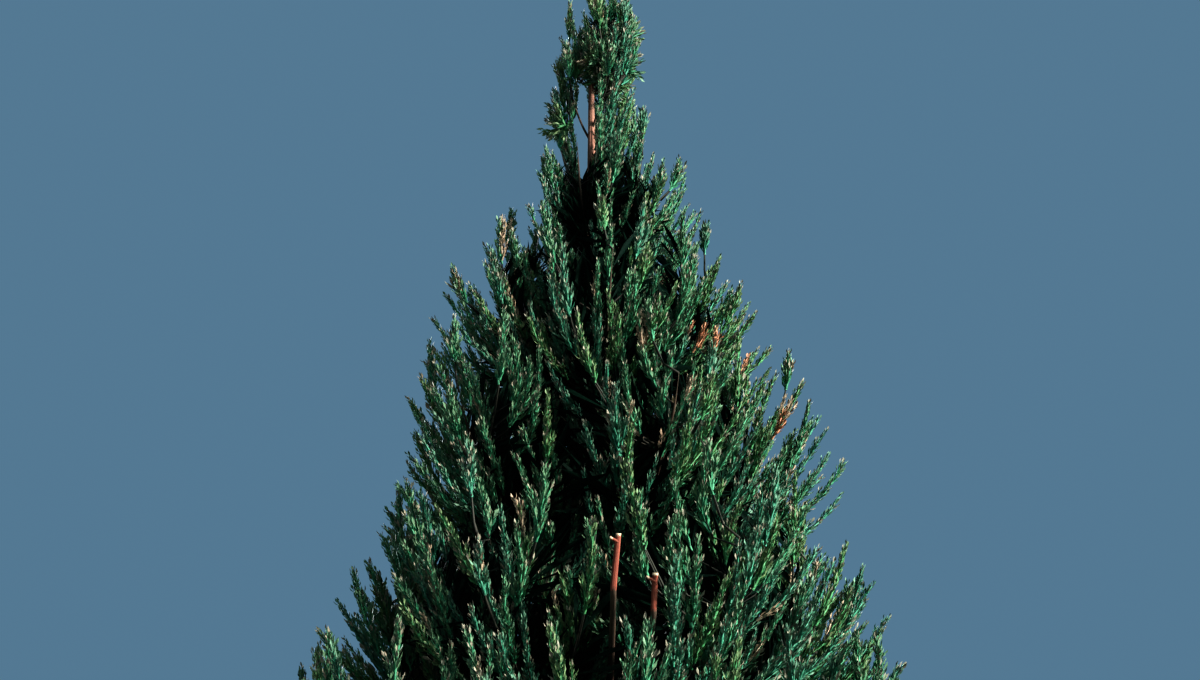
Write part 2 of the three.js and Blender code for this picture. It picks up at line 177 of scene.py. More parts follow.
LIMB_REACH = 0.86  # of the crown's radius, for limbs, roots and broken shoots
GROUND_CLEARANCE = 0.03
SPRAY_CLEARANCE = 0.1  # from the ground to a spray's tip

# Fingers on a spray
GOLDEN_ANGLE = math.radians(137.5)
TURN_SPREAD = 0.3  # radians
SPRAY_FINGERS = 13
FINGERS_FROM = 0.36
FINGERS_TO = 0.93
FINGER_SPREAD = 0.02
FINGER_LENGTH = 0.096
FINGER_AT_FOOT = 1.12  # the share of that length at the spray's foot
FINGER_SHORTER = 0.35  # how much less it is at its tip
LENGTHS = (0.8, 1.2)  # range for fingers and side shoots
FINGER_OPEN = 19  # degrees from the spray's line at its foot
FINGER_CLOSE = 5  # degrees at its tip
OPEN_SPREAD = 6  # degrees
FINGER_LIFT = 0.28  # how far each finger turns upwards

# One finger, at unit length
FINGER_VARIANTS = 6
FINGER_SEED = 900
CORE_RADIUS = 0.058
CORE_LEAN = 0.06
SIDE_SHOOTS = 12
SIDE_FROM = 0.05
SIDE_TO = 0.82
SIDE_FOOT = 0.3  # how far out in the core a side shoot begins
SIDE_LENGTH = 0.4
SIDE_SHORTER = 0.16  # how much shorter it is at the finger's tip
SIDE_OPENING = (9, 23)
SIDE_BREADTH = 0.05
LEAF_BROADEST = 0.58  # where along itself it is broadest
LEAF_FOLD = 0.6  # how far its edges stand out, as a share of its breadth
YOUNG_FROM = 0.2
TIP_FROM = 0.62

# Near-black shoots of painted shade inside the crown, as (number, length, first and last place)
SPRAY_SHADE = (6, 0.14, 0.1, 0.5)
TWIG_SHADE = (60, 0.3, 0.12, 0.8)
LIMB_SHADE = (150, 0.36, 0.1, 0.9)
TRUNK_SHADE = (2000, 0.36, 0, 1)
TRUNK_SHADE_Z = (0.5, 4.6)
SHADE_BREADTH = 0.055
SHADE_SPREAD = 0.03
SHADE_LENGTHS = (0.7, 1.2)
SHADE_ALONG = 0.8  # how far they turn along what bears them
SHADE_LIFT = 0.2
SHADE_REACH = 0.77  # of the crown's radius
SHADE_INSET = 0.04
SHADE_FULL_RADIUS = 0.95  # of the crown, from which they have their full length

# Bark. Its ridges are waves round a limb, which wander and fade along it.
TRUNK_RINGS = 300
RING_CROWDING = 1.15  # above 1, rings stand closer near the ground
TRUNK_SIDES = 64
TRUNK_BARK_SEED = 11
TRUNK_RELIEF = 0.0035
LEAST_RELIEF = 0.001
LIMB_RINGS = 26
LIMB_MORE_RINGS = 3  # for each tier further down
LIMB_SIDES = 10
LIMB_BARK_SEED = 40
TIER_BARK_SEEDS = 10
LIMB_RELIEF = 0.06  # of its radius
LIMB_END_TAPER = 0.12  # the share of its length over which a limb's end narrows
LIMB_END_LEAST = 0.3
COLLAR = 0.35  # how much thicker a limb is at the trunk
COLLAR_LENGTH = 0.04
RIDGES = 9
RIDGE_WAVES = (5, 26)
RIDGE_WANDER = (1.2, 3.2)  # radians
WANDER_TURN = (2, 7)  # radians for each metre
FADE_TURN = (3, 11)
RIDGE_EVEN = 0.55  # share of a ridge that doesn't fade
RIDGE_SUM = 2.7  # of the waves, for a full ridge
ANY_START = 6.3  # about a whole turn, in radians

# Where the crown draws in: broad waves, as (waves round it, radians for each metre down, start), and
# hollows, as (bearing, depth, degrees round, metres down, amount). It swells where the amount is below 0.
WAVE_DEPTH = 0.06
WAVE_FULL_DEPTH = 1.2  # below the tip
WAVES = [
    (3, 2.1, 0),
    (-2, 3.4, 0.8),
]
HOLLOWS = [
    (0, 2.04, 30, 0.22, 0.19),
    (0, 2.76, 24, 0.16, 0.18),
    (0, 0.9, 24, 0.13, -0.2),
    (0, 1.66, 18, 0.16, -0.2),
    (180, 2.2, 34, 0.42, 0.19),
    (180, 2.5, 24, 0.16, 0.06),
    (180, 1.85, 16, 0.12, -0.05),
    (180, 1.25, 16, 0.14, -0.03),
    (180, 0.93, 14, 0.1, 0.05),
    (264, 1.85, 10, 0.3, 0.16),
    (270, 3.9, 40, 0.5, -0.22),
    (90, 3.9, 40, 0.5, -0.12),
    (180, 3.9, 40, 0.5, -0.09),
    (0, 3.9, 40, 0.5, -0.08),
]

# Narrow dark clefts that run down the front of the crown, as (bearing, depth at the top and at the foot)
CLEFTS = [
    (261, 1.25, 2.6),
    (239, 1.7, 3.0),
    (287, 0.75, 1.3),
]
CLEFT_WIDTH = 5  # degrees
CLEFT_DEPTH = 0.36
CLEFT_END = 0.06  # how softly it starts and ends

# The dark grooves between masses
GROOVE_WIDTH = 0.08
GROOVE_DEPTH = 0.3
GROOVE_FULL_RADIUS = 0.5  # of the crown, from which they are full

# The gap beside the trunk near the top, and the bare sunlit trunk, as the camera sees them. These x and
# z are those that show at the trunk's distance.
GAP_X = (-0.09, -0.046)
GAP_Z = (4.54, 4.93)
BARE_X = (-0.05, -0.012)
BARE_Z = (4.68, 4.93)
PATH_POINTS = 12  # tried along a twig

# The way by which the sun reaches the bare trunk
SUN = (0.86, -0.42, 0.56)
SUNLIT_Z = (4.74, 4.88)
SUNLIT_HALF_WIDTH = 0.03

# Hues of the sprays, and bands along a finger: a darker old foot, as older growth and painted shade, and
# a tip that may be pale, as new growth and painted highlight
GREEN, BLUE, OLIVE, DEAD, TAN = range(5)
OLD_AND_SHADED, YOUNG, TIP = range(3)
HUE_SHARES = (0.45, 0.3, 0.25)
SHARED_HUE = 0.5  # of a plume's sprays have the plume's own hue
# Pale ends are paler new growth and partly a painted highlight
PALE_AND_HIGHLIT_SHARE = 0.5  # of the fingers have pale ends
DRY_SHARE = 0.012  # of the fingers are dry

# The leaves' materials, and which of them each hue has, by band
LEAF_COLOURS = {
    # The old colours are darker as older growth and as painted shade
    "green_old_shaded": (0.046, 0.19, 0.1),
    "green_young": (0.122, 0.202, 0.119),
    "blue_old_shaded": (0.042, 0.178, 0.112),
    "blue_young": (0.112, 0.194, 0.134),
    "olive_old_shaded": (0.062, 0.19, 0.08),
    "olive_young": (0.154, 0.209, 0.104),
    # Pale tips: new growth, partly a painted highlight
    "pale": (0.238, 0.204, 0.155),
    "dead": (0.42, 0.2, 0.12),
    "tan": (0.36, 0.26, 0.185),
}
DARKER = 0.72  # a leaf's grains are darker and lighter than its colour
LIGHTER = 1.27
MATERIAL_OF = np.array([[0, 1, 1], [2, 3, 3], [4, 5, 5], [7, 7, 7], [8, 8, 8]])
PALE_AND_HIGHLIT = 6

# Dead tufts and tan shoots, as (x, z, half width, half height, hue), given like the gap
SPOTS = [
    (0.38, 3.94, 0.04, 0.06, DEAD),
    (0.44, 3.89, 0.02, 0.04, DEAD),
    (0.575, 3.87, 0.025, 0.03, TAN),
    (0.55, 3.82, 0.018, 0.03, DEAD),
    (0.68, 3.54, 0.025, 0.035, DEAD),
    (0.72, 3.64, 0.018, 0.05, TAN),
    (0.17, 3.93, 0.02, 0.06, TAN),
    (0.35, 3.68, 0.022, 0.03, TAN),
    (-0.03, 4.1, 0.02, 0.05, TAN),
    (-0.368, 4.33, 0.022, 0.08, TAN),
    (-0.49, 4.24, 0.022, 0.04, TAN),
    (-0.34, 4.1, 0.02, 0.08, TAN),
]

# Bare broken shoots at the front, as (x at the top, x at the foot, foot, top), given like the gap
STUBS = [
    (0.07, 0.05, 2.92, 3.13),
    (0.208, 0.202, 2.84, 2.98),
]
STUB_RADIUS = 0.0105
STUB_TAPER = (1.15, 0.9)
STUB_RINGS = 16
STUB_SIDES = 12
STUB_RELIEF = 0.14  # of its radius
STUB_FORWARD = 0.02  # how much nearer its top is than its foot
STUB_BROKEN = 0.012  # the length of pale wood at its end
STUB_CLEARANCE = 0.028
STUB_CLEAR_TO = -0.75  # open up to this y
STUB_RUN = (0.0, 0.13, -0.12)  # from its foot to where it bends, further in and lower
STUB_RISE = 0.3  # how much more than a twig it rises from the trunk
SIDE_STUB_DROP = 0.03  # from its top to its side stub
SIDE_STUB_RUN = (-0.03, -0.01, 0.016)
SIDE_STUB_TAPER = (0.6, 0.4)
SIDE_STUB_RINGS = 6
STUB_SEEDS = (70, 80)  # for the bark of shoots and of side stubs
# Materials of the broken shoots: fresh bark, broken wood, and the dark limb bark as painted shade below
# the foot
FRESH_BARK, BROKEN_WOOD, SHADED_BARK = range(3)

# Directions that no finger, spray or broken shoot runs along, to measure turns round them from
FINGER_ASIDE = np.array([0.31, 0.2, 0.93])
SPRAY_ASIDE = np.array([0.3, 0.95, 0.05])
STUB_ASIDE = np.array([0.3, 0.95, 0.1])
NEARLY_UPRIGHT = 0.9
ACROSS = np.array([1.0, 0.0, 0.0])
UP = np.array([0.0, 0.0, 1.0])

# The lights as (name, strength, degrees across, colour, the way towards it)
LIGHTS = [
    ("key", 7, 5, (1.0, 0.92, 0.86), SUN),
    ("soft", 5.4, 60, (0.68, 1.0, 0.95), (0.95, -0.3, 0.5)),
    ("back", 5, 30, (0.9, 0.96, 1.0), (-0.34, 0.88, 0.3)),
]

# The photograph's viewpoint, and the heights at the trunk that its edges show
EYE_DISTANCE = 9.0
EYE_HEIGHT = 1.6
VIEW_TOP = 5.3
VIEW_BOTTOM = 2.58
PHOTO_WIDTH = 1200
PHOTO_HEIGHT = 680

# Numbers and the rule

def seeded(seed):
    """Random numbers from 0 to 1, the same as the solids' for the same seed."""
    mask = 0xFFFFFFFF
    state = [seed & mask]

    def draw():
        state[0] = (state[0] + 0x6D2B79F5) & mask
        mixed = ((state[0] ^ (state[0] >> 15)) * (state[0] | 1)) & mask
        mixed = ((mixed + (((mixed ^ (mixed >> 7)) * (mixed | 61)) & mask)) & mask) ^ mixed
        return ((mixed ^ (mixed >> 14)) & mask) / 4294967296

    return draw


def unit(vectors):
    """Vectors at length 1, along the last axis."""
    return vectors / np.maximum(np.linalg.norm(vectors, axis=-1, keepdims=True), 1e-12)


def directions(bearing):
    """The level directions outwards at a bearing, and across it."""
    out = np.array([math.cos(bearing), math.sin(bearing), 0.0])
    return out, np.array([-out[1], out[0], 0.0])


def turned_from(bearing, middle):
    """The angle from a middle bearing, within half a turn either way."""
    return (bearing - middle + math.pi) % (2 * math.pi) - math.pi


def crown_radius(depth):
    """The crown's radius at a depth below the tip: a spire, then a cone that levels off and tucks in."""
    depth = np.maximum(depth, 1e-6)
    spire = SPIRE_RADIUS * (1 - np.exp(-depth / SPIRE_DEPTH))
    cone = CONE_SLOPE * depth * (1 - np.exp(-((depth / SHOULDER_DEPTH) ** SHOULDER_POWER)))
    upper = (spire ** SPIRE_BLEND + cone ** SPIRE_BLEND) ** (1 / SPIRE_BLEND)
    full = (upper ** -LEVEL_BLEND + CROWN_RADIUS ** -LEVEL_BLEND) ** (-1 / LEVEL_BLEND)
    height = (TREE_HEIGHT - depth) / SKIRT_HEIGHT
    return full * (1 - SKIRT_TUCK * np.exp(-height * height))


def crown_point(bearing, radius, depth):
    shift = TIP_SHIFT * np.exp(-depth / TIP_SHIFT_DEPTH)
    return np.array([shift + radius * math.cos(bearing), radius * math.sin(bearing), TREE_HEIGHT - depth])


def trunk_centre(z):
    share = z / TRUNK_HEIGHT
    lean = (TRUNK_LEAN - TRUNK_SWAY * math.sin(SWAY_TURN)) * share ** LEAN_POWER
    x = TRUNK_SWAY * np.sin(SWAY_TURN * share) + lean
    y = TRUNK_SWAY * DEEP_SWAY * np.sin(DEEP_SWAY_TURN * share) * share
    return np.stack([x, y, z], axis=-1)


def trunk_radius(z):
    share = np.maximum(0, 1 - z / TRUNK_HEIGHT)
    return TRUNK_TIP_RADIUS + (TRUNK_RADIUS - TRUNK_TIP_RADIUS) * share ** TRUNK_TAPER


class Limb:
    """The middle line of one limb, from the trunk's middle (0) to the tip of its mass (1)."""

    def __init__(self, bearing, depth, bow, attach):
        self.bearing = bearing
        self.bow = bow
        self.attach = attach
        self.reach = crown_radius(depth)
        self.rise = TREE_HEIGHT - depth - attach
        self.foot = trunk_centre(attach)

    def point(self, t):
        t = np.asarray(t, float)
        bearing = self.bearing + self.bow * np.sin(np.pi * t)
        radius = self.reach * (1 - (1 - t) ** OUT_POWER)
        climbed = EVEN_CLIMB * t + (1 - EVEN_CLIMB) * t * t
        x = self.foot[0] * (1 - t) + radius * np.cos(bearing)
        y = self.foot[1] * (1 - t) + radius * np.sin(bearing)
        return np.stack([x, y, self.attach + self.rise * climbed], axis=-1)

    def radius(self, t):
        taper = LIMB_SHARE * trunk_radius(self.attach) * (1 - np.asarray(t)) ** LIMB_TAPER
        return np.maximum(LIMB_LEAST_RADIUS, taper)


class Plume:
    """A twig from its root to a tip on the crown, with the patch of the crown that its sprays cover."""

    def __init__(self, root, tip, bend_out, bend_up, patch):
        self.root = root
        self.tip = tip
        self.bend_out = bend_out
        self.bend_up = bend_up
        self.bearing, self.depth, self.spacing, self.step, self.mass_bearing, self.mass_half = patch

    def bend(self, root):
        """The middle point of the twig's curve, from a given root."""
        middle = root + (self.tip - root) * self.bend_out
        middle[2] = root[2] + self.bend_up * (self.tip[2] - root[2])
        return middle


def bezier(root, bend, tip, t):
    """Points of quadratic curves. The curves run along the first axis and t along the second."""
    root, bend, tip = (np.atleast_2d(p)[:, None, :] for p in (root, bend, tip))
    t = np.atleast_2d(t)[..., None]
    return root * (1 - t) ** 2 + bend * 2 * t * (1 - t) + tip * t * t


def bezier_tangent(root, bend, tip, t):
    root, bend, tip = (np.atleast_2d(p)[:, None, :] for p in (root, bend, tip))
    t = np.atleast_2d(t)[..., None]
    return unit((bend - root) * (1 - t) + (tip - bend) * t)


def plumes_of(limb, tier, row_depths, draw):
    """The plumes of one mass, by the solids' rule."""
    masses, _, rows, columns, bough = tier
    first = BOUGH_END + TWIGS_PAST_BOUGH if bough else TWIGS_FROM
    spacing = 2 * math.pi / (masses * columns)
    plumes = []
    for row in range(rows):
        step = ROW_STEP + ROW_GROWTH * row_depths[row]
        stagger = ROW_STAGGER if row % 2 else -ROW_STAGGER
        for column in range(columns):
            drop, swing, inset, _ = draw(), draw(), draw(), draw()
            depth = row_depths[row] + step * DEPTH_SPREAD * (drop - 0.5)
            place = column + 0.5 - columns / 2
            bearing = limb.bearing + spacing * (place + stagger + BEARING_SPREAD * (swing - 0.5))
            tip = crown_point(bearing, crown_radius(depth) * (1 - INSET * inset), depth)
            inward = columns - 1 - 2 * abs(place) + (0 if place < 0 else 0.5)
            order = (rows - 1 - row) * columns + inward + 0.5
            root = limb.point(first + (TWIGS_TO - first) * order / (rows * columns))
            patch = (bearing, depth, spacing, step, limb.bearing, math.pi / masses)
            plumes.append(Plume(root, tip, BEND_OUT, BEND_UP, patch))
    return plumes


def leader_plumes(foot, top, draw):
    """The plumes of the leader, round the stem that carries on from the trunk's tip."""
    plumes = []
    for k in range(LEADER_RING + 1):
        bearing = math.radians(360 * k / LEADER_RING + LEADER_SWING * draw())
        depth = LEADER_RING_DEPTH + LEADER_RING_STEP * k if k else 0.0
        tip = crown_point(bearing, LEADER_RING_RADIUS if k else LEADER_TIP_RADIUS, depth)
        root = foot + (top - foot) * (RING_ROOT + RING_ROOT_STEP * k if k else LEADER_ROOT)
        patch = (bearing, depth, 2 * math.pi / LEADER_RING, LEADER_STEP, bearing, math.pi)
        plumes.append(Plume(root, tip, LEADER_BEND_OUT, LEADER_BEND_UP, patch))
    return plumes


def planned_tiers():
    """Every tier as a list of (node name, limb, plumes)."""
    tiers = []
    row_depth = FIRST_ROW_DEPTH
    for level, tier in enumerate(TIERS):
        masses, first_bearing, rows, _, _ = tier
        row_depths = []
        for _ in range(rows):
            row_depths.append(row_depth)
            row_depth += ROW_STEP + ROW_GROWTH * row_depth
        tip_height = TREE_HEIGHT - row_depths[0]
        rise = min(RISE + RISE_GROWTH * row_depths[0], RISE_MOST, tip_height - LOWEST_LIMB)
        made = []
        for j in range(masses):
            draw = seeded(SEED + TIER_SEEDS * level + j)
            bow = math.radians(LIMB_BOW * (draw() - 0.5))
            attach = tip_height - rise + ATTACH_SPREAD * (draw() - 0.5)
            limb = Limb(math.radians(first_bearing + 360 * j / masses), row_depths[0], bow, attach)
            made.append((f"foliage_{level + 1}_{j + 1}", limb, plumes_of(limb, tier, row_depths, draw)))
        tiers.append(made)
    return tiers


# Meshes from arrays

def mesh_piece(name, materials, vertices, triangles, uvs=None, kinds=None):
    """One joined object that rides on the root. kinds gives each triangle's material by number."""
    mesh = bpy.data.meshes.new(name)
    mesh.vertices.add(len(vertices))
    mesh.vertices.foreach_set("co", np.ascontiguousarray(vertices, np.float32).ravel())
    mesh.loops.add(3 * len(triangles))
    mesh.loops.foreach_set("vertex_index", np.ascontiguousarray(triangles, np.int32).ravel())
    mesh.polygons.add(len(triangles))
    mesh.polygons.foreach_set("loop_start", np.arange(0, 3 * len(triangles), 3, dtype=np.int32))
    if kinds is not None:
        mesh.polygons.foreach_set("material_index", np.ascontiguousarray(kinds, np.int32))
    if uvs is not None:
        layer = mesh.uv_layers.new(name="along")
        layer.data.foreach_set("uv", np.ascontiguousarray(uvs[triangles.ravel()], np.float32).ravel())
    mesh.update(calc_edges=True)
    mesh.shade_smooth()
    for material in materials:
        mesh.materials.append(material)
    piece = bpy.data.objects.new(name, mesh)
    bpy.context.scene.collection.objects.link(piece)
    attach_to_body(piece, "root")
    return piece


def tubes(centres, tangents, radii, across, sides):
    """Tubes through rings of points, closed at both ends. The arrays run by tube, then by ring.

    radii can also run by side. across is the direction of each tube's first side."""
    count, rings = centres.shape[:2]
    across = across[:, None, :]
    a = unit(across - tangents * np.sum(across * tangents, axis=-1, keepdims=True))
    b = np.cross(tangents, a)
    angles = 2 * np.pi * np.arange(sides) / sides
    if radii.ndim == 2:
        radii = radii[..., None]
    spoke = a[..., None, :] * np.cos(angles)[:, None] + b[..., None, :] * np.sin(angles)[:, None]
    points = centres[..., None, :] + spoke * radii[..., None]
    ring, side = np.meshgrid(np.arange(rings - 1), np.arange(sides), indexing="ij")
    here = (ring * sides + side).ravel()
    beside = (ring * sides + (side + 1) % sides).ravel()
    fan = np.array([[0, k, k + 1] for k in range(1, sides - 1)])
    one = [
        np.stack([here, beside, beside + sides], 1),
        np.stack([here, beside + sides, here + sides], 1),
        fan[:, ::-1],
        fan + (rings - 1) * sides,
    ]
    starts = np.arange(count)[:, None, None] * rings * sides
    return points.reshape(-1, 3), (np.concatenate(one)[None] + starts).reshape(-1, 3)


def gathered(rows):
    """Each column of many rows of arrays, as one array."""
    return [np.concatenate(column) for column in zip(*rows)]


def joined(parts):
    """Several meshes as one, each as (vertices, triangles, and any values of theirs)."""
    starts = np.cumsum([0] + [len(part[0]) for part in parts])
    return gathered([(part[0], part[1] + start, *part[2:]) for part, start in zip(parts, starts)])


def spike(start, aim, length, breadth):
    """A three-sided shoot: its four points and three faces."""
    side = unit(np.cross(aim, FINGER_ASIDE))
    other = np.cross(aim, side)
    points = []
    for k in range(3):
        angle = 2 * math.pi * k / 3
        points.append(start + breadth * (side * math.cos(angle) + other * math.sin(angle)))
    points.append(start + aim * length)
    return points, [(0, 1, 3), (1, 2, 3), (2, 0, 3)]


def scale_leaf(start, aim, out, length, breadth):
    """A short side shoot: two faces that meet in a crease from its foot to its end."""
    side = unit(np.cross(aim, out))
    outer = unit(np.cross(side, aim))
    middle = start + aim * length * LEAF_BROADEST + outer * breadth * LEAF_FOLD
    points = [start, middle + side * breadth, start + aim * length, middle - side * breadth]
    return points, [(0, 1, 2), (0, 2, 3)]


def finger_template(variant):
    """One finger of unit length along Z: a tapering core with short side shoots.

    Gives its vertices, its triangles and the band of each triangle."""
    rng = np.random.default_rng(FINGER_SEED + variant)
    lean = rng.uniform(-CORE_LEAN, CORE_LEAN, 2)

    def centre(z):
        return np.array([lean[0] * z * z, lean[1] * z * z, z])

    vertices, triangles = spike(centre(0.0), unit(centre(1.0)), 1.0, CORE_RADIUS)
    bands = [OLD_AND_SHADED] * len(triangles)
    for j in range(SIDE_SHOOTS):
        z = SIDE_FROM + (SIDE_TO - SIDE_FROM) * j / (SIDE_SHOOTS - 1)
        turn = GOLDEN_ANGLE * j + rng.uniform(-TURN_SPREAD, TURN_SPREAD)
        opening = math.radians(rng.uniform(*SIDE_OPENING))
        length = (SIDE_LENGTH - SIDE_SHORTER * z) * rng.uniform(*LENGTHS)
        out = np.array([math.cos(turn), math.sin(turn), 0.0])
        aim = out * math.sin(opening) + UP * math.cos(opening)
        foot = centre(z) + out * CORE_RADIUS * SIDE_FOOT
        points, faces = scale_leaf(foot, aim, out, length, SIDE_BREADTH)
        triangles += [tuple(i + len(vertices) for i in face) for face in faces]
        # The foot's band is darker, as older growth and painted shade
        bands += [OLD_AND_SHADED if z < YOUNG_FROM else TIP if z > TIP_FROM else YOUNG] * len(faces)
        vertices += points
    return np.array(vertices), np.array(triangles), np.array(bands)


def copies(shape, faces, base, aim, length, spin):
    """One shape at each base, along each aim and turned round it, as (vertices, triangles)."""
    reference = np.where(np.abs(aim[:, 2:3]) < NEARLY_UPRIGHT, UP, ACROSS)
    a = unit(np.cross(aim, reference))
    b = np.cross(aim, a)
    across = a * np.cos(spin)[:, None] + b * np.sin(spin)[:, None]
    beside = np.cross(aim, across)
    local = shape[None] * length[:, None, None]
    world = base[:, None, :] + local[..., 0:1] * across[:, None, :]
    world = world + local[..., 1:2] * beside[:, None, :] + local[..., 2:3] * aim[:, None, :]
    starts = np.arange(len(base))[:, None, None] * len(shape)
    return world.reshape(-1, 3), (faces[None] + starts).reshape(-1, 3)


def build_fingers(fingers):
    """The vertices, triangles and material numbers of many fingers."""
    columns = gathered(fingers)
    parts = []
    for variant in range(FINGER_VARIANTS):
        shape, faces, bands = finger_template(variant)
        *places, hue, pale = (values[variant::FINGER_VARIANTS] for values in columns)
        # Old bands are darker as older growth and painted shade; pale ends are new growth and painted
        # highlight
        kinds = MATERIAL_OF[hue[:, None], bands[None]]
        pale_highlit_end = (pale & (hue < DEAD))[:, None] & (bands[None] == TIP)
        parts.append((*copies(shape, faces, *places), np.where(pale_highlit_end, PALE_AND_HIGHLIT, kinds).ravel()))
    return joined(parts)


def build_shade(shade):
    """The vertices and triangles of the inner shoots."""
    points, faces = scale_leaf(np.zeros(3), UP, ACROSS, 1.0, SHADE_BREADTH)
    return copies(np.array(points), np.array(faces), *gathered(shade))


def build_twigs(twigs):
    """The vertices and triangles of many twigs."""
    root, bend, tip, thick, thin, across = gathered(twigs)
    share = np.linspace(0, 1, TWIG_RINGS)[None]
    centres = bezier(root, bend, tip, share)
    tangents = bezier_tangent(root, bend, tip, share)
    radii = thick[:, None] * (1 - share) + thin[:, None] * share
    return tubes(centres, tangents, radii, across, TWIG_SIDES)


# Growing the sprays

class Growth:
    """Gathers the twigs and fingers of one joined pair of pieces, and the whole crown's inner shoots."""

    def __init__(self, shade, seed):
        self.shade_rng = np.random.default_rng(seed)
        self.twigs = []
        self.fingers = []
        self.shade = shade


def grow_hues(rng, count):
    """The hue of each spray of a plume. Most of them share one."""
    likely = rng.choice([GREEN, BLUE, OLIVE], p=HUE_SHARES)
    shared = rng.random(count) < SHARED_HUE
    return np.where(shared, likely, rng.choice([GREEN, BLUE, OLIVE], count, p=HUE_SHARES))


def size_at(depth):
    return SIZE_AT_TIP + SIZE_GROWTH * depth + SIZE_CURVE * depth * depth


def seen(points):
    """Where points show from the camera, as x and z at the trunk's distance."""
    nearness = EYE_DISTANCE / (EYE_DISTANCE + points[..., 1])
    return points[..., 0] * nearness, EYE_HEIGHT + (points[..., 2] - EYE_HEIGHT) * nearness


def beside_trunk(points):
    """Whether points cover the gap beside the trunk, or the bare trunk."""
    x, z = seen(points)
    gap = (x > GAP_X[0]) & (x < GAP_X[1]) & (z > GAP_Z[0]) & (z < GAP_Z[1])
    bare = (x > BARE_X[0]) & (x < BARE_X[1]) & (z > BARE_Z[0]) & (z < BARE_Z[1]) & (points[..., 1] < 0)
    return gap | bare


def kept_open(points):
    """Whether points cover what shows bare: the gap, the trunk beside it, its sun or a broken shoot."""
    x, z = seen(points)
    covers = beside_trunk(points) | in_sun_way(points)
    for top_x, foot_x, foot, top in STUBS:
        stub_x = foot_x + (top_x - foot_x) * (z - foot) / (top - foot)
        beside = (np.abs(x - stub_x) < STUB_CLEARANCE) & (z > foot) & (z < top + STUB_CLEARANCE)
        covers = covers | (beside & (points[..., 1] < STUB_CLEAR_TO))
    return covers


def cover_open(base, ends):
    """Whether shoots cover what shows bare, by their foot, middle or end."""
    return kept_open(base) | kept_open((base + ends) / 2) | kept_open(ends)


def in_sun_way(points):
    """Whether points keep the sun from the bare trunk."""
    level = math.hypot(SUN[0], SUN[1])
    foot = trunk_centre(np.array(sum(SUNLIT_Z) / 2))
    x, y = points[..., 0] - foot[0], points[..., 1] - foot[1]
    towards = (x * SUN[0] + y * SUN[1]) / level
    aside = np.abs(y * SUN[0] - x * SUN[1]) / level
    below = points[..., 2] - towards * SUN[2] / level
    return (towards > 0) & (aside < SUNLIT_HALF_WIDTH) & (below > SUNLIT_Z[0]) & (below < SUNLIT_Z[1])


def crosses(roots, bends, tips):
    """Which of many curves pass the gap or the bare trunk."""
    return beside_trunk(bezier(roots, bends, tips, np.linspace(0, 1, PATH_POINTS)[None])).any(axis=1)


def covered(points, share, inset=0.0):
    """Which points have foliage outside them: within a share of the crown's radius, in hollows too."""
    depth = TREE_HEIGHT - points[..., 2]
    bearing = np.arctan2(points[..., 1], points[..., 0])
    reach = crown_radius(depth) - np.maximum(0, hollow(bearing, depth))
    return np.hypot(points[..., 0], points[..., 1]) < share * reach - inset


def twig_root(plume, limb):
    """Where a plume's twig leaves its limb, so that it rises to its tip and stays clear of the gap."""
    if limb is None:
        return plume.root
    roots = [plume.root] + [limb.point(t) for t in ROOT_PLACES]
    highest = plume.tip[2] - LEAST_RISE
    rising = [root for root in roots if root[2] < highest and covered(root, LIMB_REACH)]
    clear = [root for root in rising if not crosses(root, plume.bend(root), plume.tip)[0]]
    return (clear or rising or [root_on_trunk(plume.tip[2])])[0]


def root_on_trunk(z):
    """A place in the trunk, somewhat lower than z."""
    return trunk_centre(np.maximum(z - TRUNK_ROOT_DROP, TRUNK_ROOT_LEAST))


def lowered(roots, bends, limb):
    """The roots of sprays, with those above their spray's bend moved down the limb, or to the trunk."""
    places = limb.point(np.array(ROOT_PLACES))
    fitting = places[None, :, 2] < bends[:, None, 2]
    on_limb = places[fitting.argmax(axis=1)]
    lower = np.where(fitting.any(axis=1)[:, None], on_limb, root_on_trunk(bends[:, 2]))
    return np.where((roots[:, 2] > bends[:, 2])[:, None], lower, roots)


def spot_hues(points, hues):
    """The hues, with those of the dead and tan spots on the front of the crown."""
    x, z = seen(points)
    for spot_x, spot_z, half_width, half_height, hue in SPOTS:
        inside = ((x - spot_x) / half_width) ** 2 + ((z - spot_z) / half_height) ** 2 < 1
        hues = np.where(inside & (points[..., 1] < 0), hue, hues)
    return hues


def groove(plume, bearings, radius):
    """How far sprays draw back towards the border between two masses."""
    to_border = (plume.mass_half - np.abs(turned_from(bearings, plume.mass_bearing))) * radius
    full = GROOVE_DEPTH * min(1.0, radius / GROOVE_FULL_RADIUS)
    return full * np.exp(-((to_border / GROOVE_WIDTH) ** 2))


def cleft(bearings, depths):
    """How far sprays draw back in the clefts at the front."""
    drawn = 0
    for at_bearing, top, foot in CLEFTS:
        turn = turned_from(bearings, math.radians(at_bearing))
        ends = (1 + np.exp((top - depths) / CLEFT_END)) * (1 + np.exp((depths - foot) / CLEFT_END))
        drawn = drawn + CLEFT_DEPTH * np.exp(-((turn / math.radians(CLEFT_WIDTH)) ** 2)) / ends
    return drawn


def hollow(bearing, depth):
    """How far the crown draws in at a place: broad waves, and the hollows that the photograph shows."""
    waves = 1
    for turns, down, start in WAVES:
        waves = waves * np.sin(turns * bearing + down * depth + start)
    drawn = WAVE_DEPTH * (0.5 + 0.5 * waves) * np.minimum(1, depth / WAVE_FULL_DEPTH)
    for at_bearing, at_depth, round_it, down_it, amount in HOLLOWS:
        aside = turned_from(bearing, math.radians(at_bearing)) / math.radians(round_it)
        below = (depth - at_depth) / down_it
        drawn = drawn + amount * np.exp(-(aside ** 2) - below ** 2)
    return drawn


